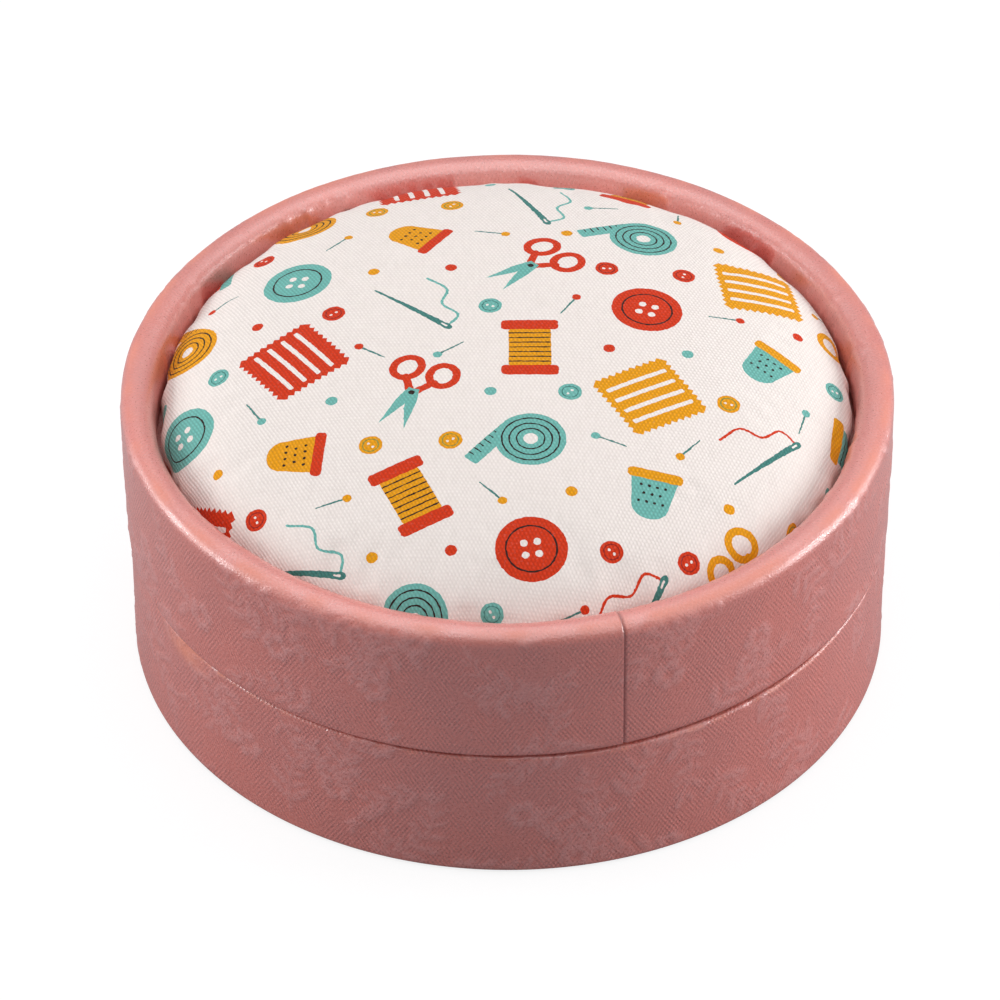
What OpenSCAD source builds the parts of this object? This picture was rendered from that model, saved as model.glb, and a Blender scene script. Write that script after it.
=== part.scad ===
// Round paperboard keepsake box with a lift-off lid whose recessed top holds
// a stuffed cotton pin cushion.  A neck ring glued inside the base stands up
// into the lid, centres it and carries it, leaving a narrow seam between the
// base wall and the lid wall.
// Millimetres, +Z up, origin at the centre of the underside.
// Name endings: _d diameter, _r radius, _h height of a part, _t thickness,
// _z height above the table.

/* [Outside] */
// Outer diameter of the covered lid
lid_d = 95; // [70:0.5:130]
// Height from the table to the top of the rolled rim
rim_h = 38.4; // [32:0.1:60]
// Height of the base wall, up to the seam with the lid
base_h = 19.0; // [12:0.1:26]
// How far the base wall stands inside the lid wall, per side
base_step = 0.3; // [0:0.05:1]
// Daylight between the base wall and the lid wall when the lid is closed
seam_gap = 0.55; // [0.2:0.05:1.2]

/* [Board and paper] */
// Thickness of the wound board of the lid wall, which sets the round rim
lid_wall = 2.87; // [1.5:0.01:4]
// Thickness of the neck ring's board
neck_wall = 1.2; // [0.8:0.1:2]
// Thickness of the flat discs, base and lid
disc_t = 2.0; // [1:0.1:3]
// Thickness of the embossed covering paper
paper_t = 0.25; // [0.12:0.01:0.4]
// Thickness of the lining papers
lining_t = 0.2; // [0.1:0.01:0.4]
// Thickness of a glue line between two layers
glue = 0.05; // [0.02:0.01:0.1]
// How far the covering paper is turned in over an edge
turn_in = 8; // [5:0.5:12]

/* [Neck] */
// Height of the neck ring's top edge above the base wall
neck_rise = 8.95; // [6:0.05:14]
// Radial clearance between the neck ring and the lid's turned-in paper
neck_fit = 0.08; // [0.02:0.01:0.1]

/* [Cushion] */
// Height of the cushion's crown above the rim
crown_rise = 6.8; // [1:0.1:9]
// Radius of the cushion, over the fabric
cushion_r = 42.3; // [30:0.1:42.8]
// Fullness of the dome's outline: 2 is an ellipse, higher is squarer
dome_full = 2.2; // [2:0.05:3]
// Thickness of the printed cotton
cloth_t = 0.4; // [0.2:0.05:0.6]
// Thickness of the board disc under the filling
cushion_board_t = 1.5; // [0.8:0.1:2]
// Width of the fabric hem gathered under the board
hem = 9; // [6:0.5:14]
// Seating offset of the cushion in its well, sideways
cushion_dx = -0.2; // [-1:0.05:1]
// Seating offset of the cushion in its well, front to back
cushion_dy = 0.5; // [-1:0.05:1]

/* [Hidden] */
$fn = 180;

// colours shared by several pieces
board_color  = [0.62, 0.55, 0.47];
wrap_color   = [0.80, 0.53, 0.51];
lining_color = [0.92, 0.87, 0.80];

// small clearances
underside_inset   = 2.5;   // underside paper, in from the base's outside
floor_liner_gap   = 0.3;   // floor liner to the neck liner
ceiling_liner_gap = 0.2;   // ceiling liner to the lid's inside
liner_fold_inset  = 0.05;  // neck liner's fold, in from the neck's outside
lid_rest_gap      = 0.05;  // neck top to the lid's ceiling

// how far cutting shapes reach past what they cut
overcut     = 0.1;
fine_cut    = 0.01;
cushion_cut = 1;

// edge roundings of the base wall, [foot, top]
board_edges      = [0.2, 0.4];
wrap_edges       = [0.5, 0.65];
wrap_inner_edges = [for (r = wrap_edges) r - paper_t];

// radii, from the lid's outside inwards
lid_outer_r        = lid_d / 2;
lid_board_outer_r  = lid_outer_r - paper_t - glue;
lid_board_inner_r  = lid_board_outer_r - lid_wall;
lid_inner_r        = lid_board_inner_r - glue - paper_t;  // over the paper
rim_centre_r       = (lid_outer_r + lid_inner_r) / 2;
rim_round_r        = (lid_outer_r - lid_inner_r) / 2;     // over the paper
neck_outer_r       = lid_inner_r - neck_fit;
neck_inner_r       = neck_outer_r - neck_wall;
liner_inner_r      = neck_inner_r - glue - lining_t;
base_outer_r       = lid_outer_r - base_step;
base_board_outer_r = base_outer_r - paper_t - glue;
base_inner_r       = neck_outer_r + glue;                 // over the paper
base_board_inner_r = base_inner_r + paper_t + glue;

// heights
base_hem_z   = lining_t + glue;              // paper hem under the base
base_board_z = base_hem_z + paper_t + glue;  // underside of the base board
floor_z      = base_board_z + disc_t;        // top of the base disc
neck_z       = floor_z + glue;
neck_top_z   = base_h + neck_rise;           // over the lining paper
ceiling_z    = neck_top_z + lid_rest_gap;
divider_z    = ceiling_z + lining_t + glue;  // underside of the lid's divider
well_z       = divider_z + disc_t;           // floor of the cushion's well
lid_z        = base_h + seam_gap;            // covered lower edge of the lid
rim_centre_z = rim_h - rim_round_r;

// cushion
roll_r         = 2.6;   // fabric's roll round the board's lower edge
side_h         = 0.6;   // side between the roll and the dome
board_fit      = 0.03;  // board's edge to the glue line inside the fabric
floor_inset    = 2;     // cover's flat inside ends this far in from the roll
cushion_z      = well_z + glue;  // lowest point of the hem
hem_top_z      = cushion_z + 2 * cloth_t;
board_under_z  = hem_top_z + glue;
board_top_z    = board_under_z + cushion_board_t;
roll_centre_r  = cushion_r - roll_r;
// the board reaches to the inside of the roll at the height of its underside
cushion_board_r = roll_centre_r - glue - board_fit
  + sqrt(pow(roll_r - cloth_t, 2) - pow(roll_r - 2 * cloth_t - glue, 2));
dome_z         = cushion_z + roll_r + side_h;  // foot of the dome, its widest
dome_h         = rim_h + crown_rise - dome_z;
filling_span   = 100;   // size of the square that keeps the filling's upper part

// gathering thread
thread_r      = 0.25;
thread_offset = 0.35;   // thread's centre inwards of the hem's end, and up

// ---- shared shapes ---------------------------------------------------
// Flat disc between heights z0 and z1
module disc(radius, z0, z1) {
  translate([0, 0, z0]) cylinder(r = radius, h = z1 - z0);
}

// Rectangle of a section, from its lower inner corner
module block(inner_r, z, size) {
  translate([inner_r, z]) square(size);
}

// What rounding removes from a lower left corner at the origin
module corner_waste(radius) {
  difference() {
    translate([-overcut, -overcut]) square([radius + overcut, radius + overcut]);
    translate([radius, radius]) circle(r = radius);
  }
}

// The same for both lower corners of a wall that stands on z = 0
module edge_waste(inner_r, outer_r, radius) {
  for (side = [0, 1])
    translate([side == 0 ? inner_r : outer_r, 0]) mirror([side, 0])
      corner_waste(radius);
}

// Section of a wall with soft edges; edges is [foot, top] rounding
module wall_section(inner_r, outer_r, z0, z1, edges) {
  difference() {
    block(inner_r, z0, [outer_r - inner_r, z1 - z0]);
    translate([0, z0]) edge_waste(inner_r, outer_r, edges[0]);
    translate([0, z1]) mirror([0, 1]) edge_waste(inner_r, outer_r, edges[1]);
  }
}

// Section of a wall from z0 up to a full round, centred on the rim line
module rim_section(half_width, z0) {
  block(rim_centre_r - half_width, z0, [2 * half_width, rim_centre_z - z0]);
  translate([rim_centre_r, rim_centre_z]) circle(r = half_width);
}

// ---- base ------------------------------------------------------------
// Wound board ring that forms the base wall
module base_tube() {
  color(board_color)
    rotate_extrude()
      wall_section(base_board_inner_r, base_board_outer_r,
                   base_board_z, base_h - paper_t - glue, board_edges);
}

// Board disc glued inside the foot of the base ring
module base_disc() {
  color(board_color) disc(base_board_inner_r - glue, base_board_z, floor_z);
}

// Embossed pink paper: up the outside, over the top edge and down inside
// beside the neck, with its hem turned under the foot
module base_wrap() {
  color(wrap_color)
    rotate_extrude() difference() {
      union() {
        wall_section(base_inner_r, base_outer_r, base_hem_z, base_h, wrap_edges);
        block(base_outer_r - turn_in, base_hem_z, [turn_in - wrap_edges[0], paper_t]);
      }
      wall_section(base_inner_r + paper_t, base_outer_r - paper_t,
                   base_hem_z + paper_t, base_h - paper_t, wrap_inner_edges);
      // inside, the paper stops turn_in below the top edge
      block(base_inner_r - fine_cut, base_hem_z + paper_t,
            [paper_t + 2 * fine_cut, base_h - turn_in - base_hem_z - paper_t]);
    }
}

// Plain paper disc that hides the hem; the box stands on it
module base_underside_paper() {
  color([0.76, 0.52, 0.50]) disc(base_outer_r - underside_inset, 0, lining_t);
}

// Lining paper on the floor of the box
module base_floor_liner() {
  color(lining_color) disc(liner_inner_r - floor_liner_gap, neck_z, neck_z + lining_t);
}

// ---- neck ------------------------------------------------------------
// Raw board ring glued inside the base, standing up into the lid
module neck_tube() {
  color([0.55, 0.49, 0.43])
    rotate_extrude()
      block(neck_inner_r, neck_z,
            [neck_outer_r - neck_inner_r, neck_top_z - lining_t - glue - neck_z]);
}

// Lining paper of the neck, folded outwards over its top edge
module neck_liner() {
  color(lining_color)
    rotate_extrude() {
      block(liner_inner_r, neck_z + lining_t + glue,
            [lining_t, neck_top_z - neck_z - lining_t - glue]);
      block(liner_inner_r, neck_top_z - lining_t,
            [neck_outer_r - liner_fold_inset - liner_inner_r, lining_t]);
    }
}

// ---- lid -------------------------------------------------------------
// Wound board ring of the lid, its top edge rounded over
module lid_tube() {
  color(board_color)
    rotate_extrude() rim_section(lid_wall / 2, lid_z + paper_t + glue);
}

// Board disc glued across the lid: ceiling below, floor of the well above
module lid_divider() {
  color(board_color) disc(lid_board_inner_r - glue, divider_z, well_z);
}

// Lining paper on the underside of the divider
module lid_ceiling_liner() {
  color(lining_color)
    disc(lid_inner_r - ceiling_liner_gap, ceiling_z, ceiling_z + lining_t);
}

// Embossed pink paper: from inside the lower edge, up the outside, over
// the round rim and down the inside of the cushion's well
module lid_wrap() {
  color(wrap_color)
    rotate_extrude() difference() {
      rim_section(rim_round_r, lid_z);
      rim_section(rim_round_r - paper_t, lid_z + paper_t);
      // leave the lid's inside bare between the turn-in and the well
      block(lid_inner_r - fine_cut, lid_z + turn_in,
            [paper_t + 2 * fine_cut, well_z + glue - lid_z - turn_in]);
      // soft lower corner, outside
      translate([lid_outer_r, lid_z]) mirror([1, 0]) corner_waste(paper_t);
    }
}

// ---- cushion ---------------------------------------------------------
// Point of the roll under the board's edge, moved inwards by inset;
// angle -90 is its lowest point and 0 its outermost
function roll_point(angle, inset) =
  [roll_centre_r + (roll_r - inset) * cos(angle),
   cushion_z + roll_r + (roll_r - inset) * sin(angle)];

// Point of the dome, moved inwards by inset along the normal;
// angle 0 is its widest line and 90 the crown
function dome_point(angle, inset) = let (
    x = pow(cos(angle), 2 / dome_full),
    z = pow(sin(angle), 2 / dome_full),
    normal_x = pow(x, dome_full - 1) / cushion_r,
    normal_z = pow(z, dome_full - 1) / dome_h,
    length = sqrt(normal_x * normal_x + normal_z * normal_z))
  [cushion_r * x - inset * normal_x / length,
   dome_z + dome_h * z - inset * normal_z / length];

// Outline from the hem under the board, round the side and over the dome
// to the crown, inset from the fabric's outside
function cushion_outline(inset) = concat(
  [for (i = [0:10]) roll_point(-90 + 90 * i / 10, inset)],
  [for (i = [0:36]) dome_point(90 * i / 36, inset)]);

// Half section of the cushion within that outline
module cushion_section(inset) {
  polygon(concat([[0, cushion_z]], cushion_outline(inset)));
}

// Places the cushion's parts where it sits in the well
module seated() {
  translate([cushion_dx, cushion_dy, 0]) children();
}

// Board disc under the filling
module cushion_board() {
  color([0.66, 0.60, 0.52]) seated()
    disc(cushion_board_r, board_under_z, board_top_z);
}

// Fibre filling, pressed against the board by the stretched fabric
module cushion_filling() {
  color([0.93, 0.92, 0.89]) seated()
    rotate_extrude() intersection() {
      cushion_section(cloth_t + glue);
      block(0, board_top_z + glue, [filling_span, filling_span]);
    }
}

// Printed cotton, stretched over the filling and turned under the board
module cushion_cover() {
  color([0.93, 0.88, 0.85]) seated()
    rotate_extrude() difference() {
      cushion_section(0);
      polygon(concat(
        [[0, hem_top_z], [roll_centre_r - floor_inset, hem_top_z]],
        [for (point = cushion_outline(cloth_t)) if (point[1] > hem_top_z) point]));
      // opening inside the hem
      block(-cushion_cut, cushion_z - cushion_cut,
            [cushion_r - hem + cushion_cut, 2 * cloth_t + cushion_cut + fine_cut]);
    }
}

// Thread that draws the fabric's hem together under the board
module gathering_thread() {
  color([0.90, 0.88, 0.84]) seated()
    rotate_extrude()
      translate([cushion_r - hem - thread_offset, cushion_z + thread_offset])
        circle(r = thread_r, $fn = 24);
}

base_tube();
base_disc();
base_wrap();
base_underside_paper();
base_floor_liner();
neck_tube();
neck_liner();
lid_tube();
lid_divider();
lid_ceiling_liner();
lid_wrap();
cushion_board();
cushion_filling();
cushion_cover();
gathering_thread();
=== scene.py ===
"""A round paper-covered board box with a printed cotton cushion set in its lid.

The box stands on z = 0 with its axis on Z, and its front faces -Y. Shapes are
worked out in millimetres, then built in metres.
"""
import math

import bpy
import numpy as np
from mathutils import Matrix, Vector, geometry


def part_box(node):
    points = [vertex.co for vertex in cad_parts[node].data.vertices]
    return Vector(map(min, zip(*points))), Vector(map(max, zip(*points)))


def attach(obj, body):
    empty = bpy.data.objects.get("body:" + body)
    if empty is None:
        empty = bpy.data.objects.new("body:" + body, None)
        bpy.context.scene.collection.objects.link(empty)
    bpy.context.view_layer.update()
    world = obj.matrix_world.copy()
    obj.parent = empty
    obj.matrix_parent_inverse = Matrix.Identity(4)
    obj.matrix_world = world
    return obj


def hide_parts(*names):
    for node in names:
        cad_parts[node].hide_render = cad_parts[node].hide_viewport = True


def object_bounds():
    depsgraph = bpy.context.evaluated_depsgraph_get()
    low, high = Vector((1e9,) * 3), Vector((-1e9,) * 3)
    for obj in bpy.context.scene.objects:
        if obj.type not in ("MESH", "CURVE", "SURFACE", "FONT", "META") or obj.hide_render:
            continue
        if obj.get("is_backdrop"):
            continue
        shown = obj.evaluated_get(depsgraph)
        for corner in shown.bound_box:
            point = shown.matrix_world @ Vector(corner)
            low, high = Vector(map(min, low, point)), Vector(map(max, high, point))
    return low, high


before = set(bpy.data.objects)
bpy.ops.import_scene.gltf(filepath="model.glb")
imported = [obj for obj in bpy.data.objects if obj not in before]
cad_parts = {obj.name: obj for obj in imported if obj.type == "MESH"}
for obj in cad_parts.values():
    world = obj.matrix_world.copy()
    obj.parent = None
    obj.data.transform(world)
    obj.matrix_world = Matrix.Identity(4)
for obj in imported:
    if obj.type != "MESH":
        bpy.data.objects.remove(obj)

MM = 0.001
TAU = 2 * math.pi
scene = bpy.context.scene
cad_low, cad_high = (v.copy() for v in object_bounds())


# ------------------------------------------------------------------ sizes
def measure(node):
    """Centre x, centre y, radius, bottom and top of a round piece, in millimetres."""
    low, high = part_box(node)
    x0, y0, z0, x1, y1, z1 = (round(v / MM, 3) for v in (*low, *high))
    return (x0 + x1) / 2, (y0 + y1) / 2, (x1 - x0) / 2, z0, z1


*_, LID_R, LID_BOTTOM, LID_TOP = measure("lid_wrap")
*_, BASE_R, BASE_BOTTOM, BASE_TOP = measure("base_wrap")
NECK_R = measure("neck_tube")[2]
WELL_Z = measure("lid_divider")[4] + 0.05         # floor of the cushion's well
CUSH_X, CUSH_Y, CUSH_R, CUSH_BOTTOM, CUSH_TOP = measure("cushion_cover")
PAPER = 0.25                                      # paper thickness
LID_INNER_R = NECK_R + 0.08                       # paper inside the lid
BASE_INNER_R = NECK_R + 0.05                      # paper inside the base
ROLL_R = (LID_R - LID_INNER_R) / 2                # round top of the lid's rim
ROLL_MID_R = (LID_R + LID_INNER_R) / 2
ROLL_Z = LID_TOP - ROLL_R
FRONT = -math.pi / 2                              # azimuth of the front


# ------------------------------------------------------------ small maths
def smooth(x, start=0.0, end=1.0):
    """Ease from 0 at start to 1 at end; start may be the larger."""
    t = np.clip((np.asarray(x, float) - start) / (end - start), 0, 1)
    return t * t * (3 - 2 * t)


def bell(x, centre, width):
    return np.exp(-((x - centre) / width) ** 2)


def unit(vectors):
    return vectors / np.maximum(np.linalg.norm(vectors, axis=1, keepdims=True), 1e-12)


def arc_length(points):
    steps = np.linalg.norm(np.diff(points, axis=0), axis=1)
    return np.concatenate([[0], np.cumsum(steps)])


def catmull(p0, p1, p2, p3, t):
    """Catmull-Rom curve from p1 to p2."""
    return 0.5 * (2 * p1 + (p2 - p0) * t + (2 * p0 - 5 * p1 + 4 * p2 - p3) * t ** 2
                  + (3 * p1 - p0 - 3 * p2 + p3) * t ** 3)


def revolve(radius, height, theta):
    """Grid of points: one ring per radius and height."""
    return np.stack([radius[:, None] * np.cos(theta), radius[:, None] * np.sin(theta),
                     np.repeat(height[:, None], len(theta), 1)], 2)


class Field:
    """Smooth seeded noise over the plane, about -1 to 1, repeating in x and y."""

    def __init__(self, seed, columns, rows, width, height):
        self.grid = np.random.RandomState(seed).uniform(-1, 1, (rows, columns))
        self.width, self.height = width, height

    def __call__(self, x, y):
        rows, columns = self.grid.shape
        grid_x = (np.asarray(x, float) / self.width * columns) % columns
        grid_y = (np.asarray(y, float) / self.height * rows) % rows
        ix, iy = np.floor(grid_x).astype(int), np.floor(grid_y).astype(int)

        def weights(t):
            t2, t3 = t * t, t * t * t
            return ((1 - t) ** 3 / 6, (3 * t3 - 6 * t2 + 4) / 6,
                    (-3 * t3 + 3 * t2 + 3 * t + 1) / 6, t3 / 6)

        weight_x, weight_y = weights(grid_x - ix), weights(grid_y - iy)
        total = 0
        for j in range(4):
            line = 0
            for i in range(4):
                node = self.grid[(iy + j - 1) % rows, (ix + i - 1) % columns]
                line = line + weight_x[i] * node
            total = total + weight_y[j] * line
        return total * 1.9


# ------------------------------------------------------------------ meshes
def add_attribute(mesh, name, kind, domain, data):
    attribute = mesh.attributes.new(name, kind, domain)
    key = {"FLOAT": "value", "FLOAT_VECTOR": "vector", "FLOAT_COLOR": "color"}[kind]
    attribute.data.foreach_set(key, np.asarray(data, np.float32).ravel())


def new_mesh(name, verts, faces):
    """Smooth mesh from millimetre points; faces is a list of (n, 3) or (n, 4) arrays."""
    mesh = bpy.data.meshes.new(name)
    verts = np.asarray(verts, float)
    counts = np.concatenate([np.full(len(f), f.shape[1], np.int32) for f in faces])
    loops = np.concatenate([np.asarray(f, np.int32).ravel() for f in faces])
    starts = np.concatenate([[0], np.cumsum(counts)[:-1]]).astype(np.int32)
    mesh.vertices.add(len(verts))
    mesh.vertices.foreach_set("co", (verts * MM).astype(np.float32).ravel())
    mesh.loops.add(len(loops))
    mesh.loops.foreach_set("vertex_index", loops)
    mesh.polygons.add(len(counts))
    mesh.polygons.foreach_set("loop_start", starts)
    mesh.polygons.foreach_set("loop_total", counts)
    mesh.update(calc_edges=True)
    mesh.validate()
    mesh.polygons.foreach_set("use_smooth", np.ones(len(counts), bool))
    return mesh


def new_object(name, mesh, material):
    obj = bpy.data.objects.new(name, mesh)
    scene.collection.objects.link(obj)
    mesh.materials.append(material)
    return obj


def new_cover(name, mesh, material, node, part):
    """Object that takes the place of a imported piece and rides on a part."""
    obj = new_object(name, mesh, material)
    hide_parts(node)
    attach(obj, part)


# ------------------------------------------------------------ shader graphs
class Graph:
    """Short ways to add nodes to a node tree; each returns an output socket."""

    def __init__(self, tree):
        self.tree = tree

    def put(self, socket, value):
        if isinstance(value, bpy.types.NodeSocket):
            self.tree.links.new(value, socket)
        elif isinstance(value, (tuple, list)) and len(value) == 3 and socket.type == "RGBA":
            socket.default_value = (*value, 1)
        else:
            socket.default_value = value

    def node(self, kind, inputs=(), **settings):
        node = self.tree.nodes.new(kind)
        for key, value in settings.items():
            setattr(node, key, value)
        for i, value in (inputs.items() if isinstance(inputs, dict) else enumerate(inputs)):
            if value is not None:
                self.put(node.inputs[i], value)
        return node

    def math(self, operation, *values):
        return self.node("ShaderNodeMath", values, operation=operation).outputs[0]

    def add(self, *values):
        return self.math("ADD", *values)

    def sub(self, *values):
        return self.math("SUBTRACT", *values)

    def mul(self, *values):
        return self.math("MULTIPLY", *values)

    def vector(self, operation, *values, out=0):
        return self.node("ShaderNodeVectorMath", values, operation=operation).outputs[out]

    def attribute(self, name, out="Vector"):
        return self.node("ShaderNodeAttribute", attribute_name=name).outputs[out]

    def coord(self, out="Object"):
        return self.node("ShaderNodeTexCoord").outputs[out]

    def axis(self, vector, i):
        return self.node("ShaderNodeSeparateXYZ", (vector,)).outputs[i]

    def xyz(self, *values):
        return self.node("ShaderNodeCombineXYZ", values).outputs[0]

    def rgb(self, *values):
        return self.node("ShaderNodeCombineColor", values).outputs[0]

    def noise(self, vector, scale, detail=2.0, rough=0.5, distort=0.0):
        return self.node("ShaderNodeTexNoise", {
            "Vector": vector, "Scale": scale, "Detail": detail,
            "Roughness": rough, "Distortion": distort}).outputs[0]

    def remap(self, value, span, to=(0.0, 1.0)):
        return self.node("ShaderNodeMapRange", {
            "Value": value, "From Min": span[0], "From Max": span[1],
            "To Min": to[0], "To Max": to[1]}).outputs[0]

    def mix(self, factor, first, second, mode="MIX"):
        return self.node("ShaderNodeMix", {0: factor, 6: first, 7: second},
                         data_type="RGBA", blend_type=mode).outputs[2]

    def wave(self, vector, freq, phase=0.0):
        """Cosine of 2 pi (freq . vector), -1 to 1."""
        turns = (freq[0] * TAU, freq[1] * TAU, 0.0)
        dot = self.vector("DOT_PRODUCT", vector, turns, out=1)
        return self.math("COSINE", self.add(dot, phase))

    def bump(self, height, distance, strength=1.0):
        return self.node("ShaderNodeBump", {
            "Strength": strength, "Distance": distance, "Height": height}).outputs[0]


class Material(Graph):
    """A new material: one Principled shader and the nodes that feed it."""

    def __init__(self, name):
        self.material = bpy.data.materials.new(name)
        self.material.use_nodes = True
        super().__init__(self.material.node_tree)
        self.tree.nodes.clear()
        output = self.tree.nodes.new("ShaderNodeOutputMaterial")
        self.shader = self.tree.nodes.new("ShaderNodeBsdfPrincipled")
        self.tree.links.new(self.shader.outputs[0], output.inputs[0])

    def set(self, **inputs):
        for key, value in inputs.items():
            self.put(self.shader.inputs[key.replace("_", " ")], value)
        return self.material


def lin(*rgb):
    """Linear colour from 0 to 255 sRGB values."""
    return tuple(((c / 255) / 12.92 if c / 255 <= 0.04045 else ((c / 255 + 0.055) / 1.055) ** 2.4)
                 for c in rgb)


def shade(colour, factor):
    return tuple(v * factor for v in colour)


def paper_material():
    """Pearly pink covering paper: fine crossed-line grain, leaf pattern, wear, painted shade along
    the lap seams and a painted highlight on the base's right front edge.
    """
    mat = Material("pink_paper")
    sheet = mat.attribute("sheet")
    motif = mat.attribute("motif", "Fac")
    wear = mat.attribute("wear", "Fac")
    broken = mat.remap(mat.noise(sheet, scale=1.5, detail=3.0, rough=0.7),
                       span=(0.40, 0.56), to=(0.30, 1.0))
    motif = mat.mul(motif, broken)
    plain = mat.sub(1.0, mat.mul(motif, 0.8))            # leaves lose most of the grain
    # the grain is two crossed families of fine lines, each fading in and out
    far = mat.vector("ADD", sheet, (31.0, 7.0, 0.0))
    wobble = mat.mul(mat.sub(mat.noise(sheet, scale=0.5), 0.5), 2.6)
    lines = [mat.mul(mat.wave(sheet, freq=freq, phase=wobble),
                     mat.remap(mat.noise(place, scale=0.22, detail=3.0, rough=0.6),
                               span=(0.40, 0.60), to=(0.12, 1.25)))
             for freq, place in (((1.74, -1.09), sheet), ((1.74, 1.09), far))]
    grit = mat.remap(mat.noise(far, scale=1.9, detail=3.0, rough=0.7),
                     span=(0.36, 0.64), to=(0.2, 1.3))
    # the stretched paper of the rim shows hardly any grain
    flatter = mat.remap(mat.axis(sheet, 1), span=(35.0, 37.8), to=(1.0, 0.25))
    grain = mat.mul(mat.mul(mat.add(*lines), grit), mat.mul(plain, flatter))
    speck = mat.noise(sheet, scale=3.0, detail=3.0, rough=0.65)
    flake = mat.noise(far, scale=3.9, rough=0.6)
    tone = mat.noise(sheet, scale=0.11, detail=4.0, rough=0.6)

    warm, cool = (0.840, 0.244, 0.196), (0.780, 0.244, 0.206)
    leaf, pale_speck, dark_speck = (0.885, 0.400, 0.375), (0.90, 0.40, 0.36), (0.46, 0.105, 0.092)
    # the first colour is worn paper's and also the painted highlight on the base's right front
    # edge; the second is painted shade for the lap seams
    worn_and_highlight, seam_shadow = (0.90, 0.36, 0.25), (0.20, 0.045, 0.042)
    base = mat.mix(mat.remap(tone, span=(0.35, 0.65)), warm, cool)
    base = mat.mix(mat.mul(motif, 0.62), base, leaf)
    base = mat.mix(mat.remap(speck, span=(0.52, 0.70), to=(0.0, 0.50)), base, pale_speck)
    dark = mat.mul(mat.remap(speck, span=(0.48, 0.30), to=(0.0, 0.60)), flatter)
    base = mat.mix(dark, base, dark_speck)
    shading = mat.remap(grain, span=(-1.4, 1.4), to=(0.77, 1.17))
    base = mat.mix(1.0, base, mat.rgb(shading, shading, shading), "MULTIPLY")
    # wear lightens the colour; on the base's right front edge this lighter band is a painted
    # highlight
    base = mat.mix(mat.mul(wear, 0.8), base, worn_and_highlight)
    # painted shade: the seams darken the colour where their groove and the top layer's edge cast
    # shadow
    base = mat.mix(mat.mul(mat.attribute("seam", "Fac"), 0.85), base, seam_shadow)

    # relative heights of grain, specks and flakes
    height = mat.add(mat.mul(grain, 0.48), mat.add(mat.mul(speck, 1.7), mat.mul(flake, 1.8)))
    sparkle = mat.add(flake, mat.mul(speck, 0.5))
    glint = mat.remap(flake, span=(0.54, 0.68), to=(0.0, 0.18))
    rough = mat.sub(mat.remap(speck, span=(0.3, 0.7), to=(0.34, 0.46)), glint)
    shine = mat.mul(mat.remap(flake, span=(0.50, 0.68), to=(0.62, 1.0)),
                    mat.remap(wear, span=(0.0, 0.8), to=(1.0, 0.12)))
    return mat.set(
        Base_Color=base, Roughness=mat.add(rough, mat.mul(wear, 0.25)),
        Normal=mat.bump(height, distance=0.000026), Specular_IOR_Level=shine, IOR=2.0,
        Coat_Weight=mat.remap(wear, span=(0.0, 0.7), to=(0.46, 0.05)),
        Coat_Roughness=0.17, Coat_Normal=mat.bump(sparkle, distance=0.000075))


def board_material(name, colour, spiral=0.0):
    """Grey-brown wound board: fibres, flecks and, on tubes, the spiral joint."""
    mat = Material(name)
    coord = mat.coord()
    stretched = mat.vector("MULTIPLY", coord, (1.0, 1.0, 4.0))
    fibre = mat.noise(stretched, scale=900.0, detail=4.0, rough=0.65, distort=0.6)
    blotch = mat.noise(coord, scale=90.0, detail=3.0)
    fleck = mat.noise(coord, scale=2600.0)
    base = mat.mix(mat.remap(fibre, span=(0.32, 0.68)), shade(colour, 0.62), shade(colour, 1.32))
    base = mat.mix(mat.remap(blotch, span=(0.35, 0.65), to=(0.0, 0.35)), base, colour)
    base = mat.mix(mat.remap(fleck, span=(0.66, 0.74), to=(0.0, 0.55)), base, shade(colour, 0.35))
    height = mat.add(fibre, mat.mul(fleck, 0.4))
    if spiral:
        # the wound strip's joint climbs the tube as a fine groove
        tube_r, strip = 0.045, 0.030
        axes = mat.node("ShaderNodeSeparateXYZ", (coord,)).outputs
        angle = mat.math("ARCTAN2", axes[1], axes[0])
        unrolled = mat.xyz(mat.mul(angle, tube_r), axes[2], 0.0)
        turns = mat.vector("DOT_PRODUCT", unrolled, (spiral, 1.0 / strip, 0.0), out=1)
        off_joint = mat.math("ABSOLUTE", mat.sub(mat.math("FRACT", turns), 0.5))
        groove = mat.remap(off_joint, span=(0.0, 0.014), to=(1.0, 0.0))
        base = mat.mix(mat.mul(groove, 0.7), base, shade(colour, 0.3))
        height = mat.sub(height, mat.mul(groove, 3.0))
    return mat.set(
        Base_Color=base, Roughness=mat.remap(fibre, span=(0.3, 0.7), to=(0.78, 0.95)),
        Normal=mat.bump(height, distance=0.00006, strength=0.8), Specular_IOR_Level=0.3)


def lining_material(name, colour):
    """Uncoated lining paper with a faint laid grain and stray fibres."""
    mat = Material(name)
    coord = mat.coord()
    laid = mat.wave(coord, freq=(620.0, 0.0))
    pulp = mat.noise(coord, scale=420.0, detail=4.0, rough=0.6)
    fibre = mat.noise(mat.vector("MULTIPLY", coord, (1.0, 3.5, 1.0)),
                      scale=1500.0, detail=3.0, rough=0.6, distort=1.0)
    base = mat.mix(mat.remap(pulp, span=(0.35, 0.65)), shade(colour, 0.93), colour)
    base = mat.mix(mat.remap(fibre, span=(0.66, 0.76), to=(0.0, 0.4)), base, shade(colour, 0.7))
    height = mat.add(mat.mul(laid, 0.12), mat.add(pulp, mat.mul(fibre, 0.5)))
    return mat.set(Base_Color=base, Roughness=0.82, Specular_IOR_Level=0.25,
                   Normal=mat.bump(height, distance=0.00004, strength=0.7))


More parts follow.
